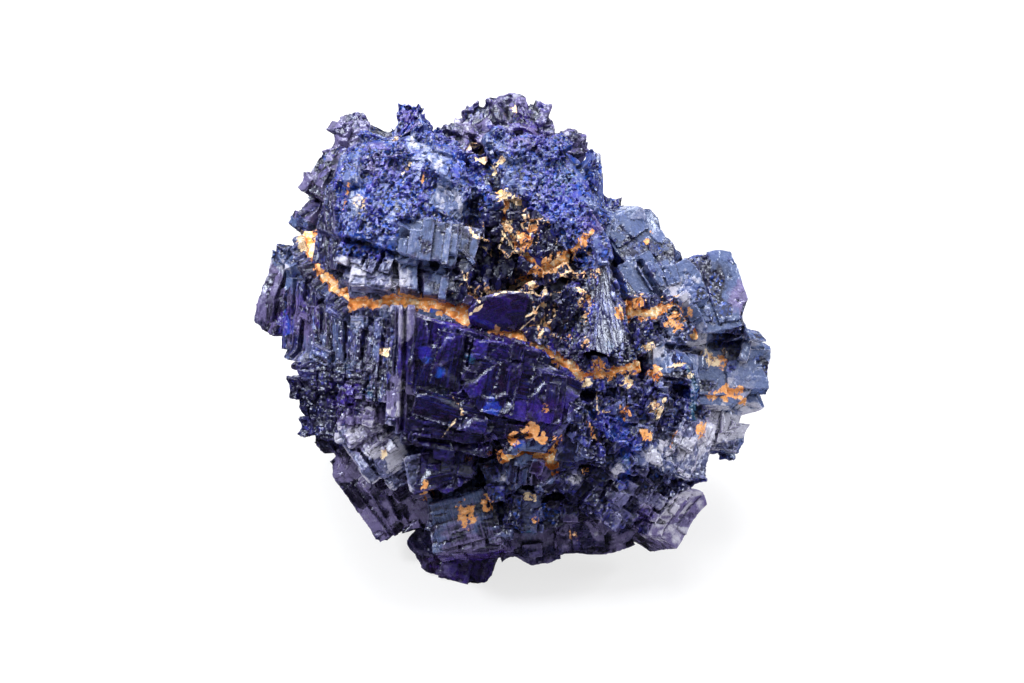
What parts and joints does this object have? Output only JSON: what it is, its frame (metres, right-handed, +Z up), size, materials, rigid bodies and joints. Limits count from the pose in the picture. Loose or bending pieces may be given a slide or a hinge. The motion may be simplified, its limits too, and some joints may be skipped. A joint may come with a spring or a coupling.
{
  "type": "azurite crystal",
  "caption": "Loose cluster of intergrown blocky azurite crystals, deep blue, with ochre clay in the seams between them, broken flat underneath.",
  "frame": {"origin": "middle of the cluster's bounding box, on the broken base it rests on", "axes": "+Z up; -Y towards the viewer of the show face, which leans back 35 degrees from upright; +X to that viewer's right, along the longest side"},
  "size_m": [0.0398, 0.0346, 0.0307],
  "materials": {
    "azurite": "deep ultramarine crystal with a glassy lustre, lighter blue-grey on cleaved faces",
    "ochre_clay": "dull ochre to cream limonite clay"
  },
  "bodies": {
    "root": {"azurite_crystals": "azurite", "clay_long_seam": "ochre_clay", "clay_cleft": "ochre_clay", "clay_right_pocket": "ochre_clay", "clay_lower_pocket": "ochre_clay"}
  },
  "joints": []
}
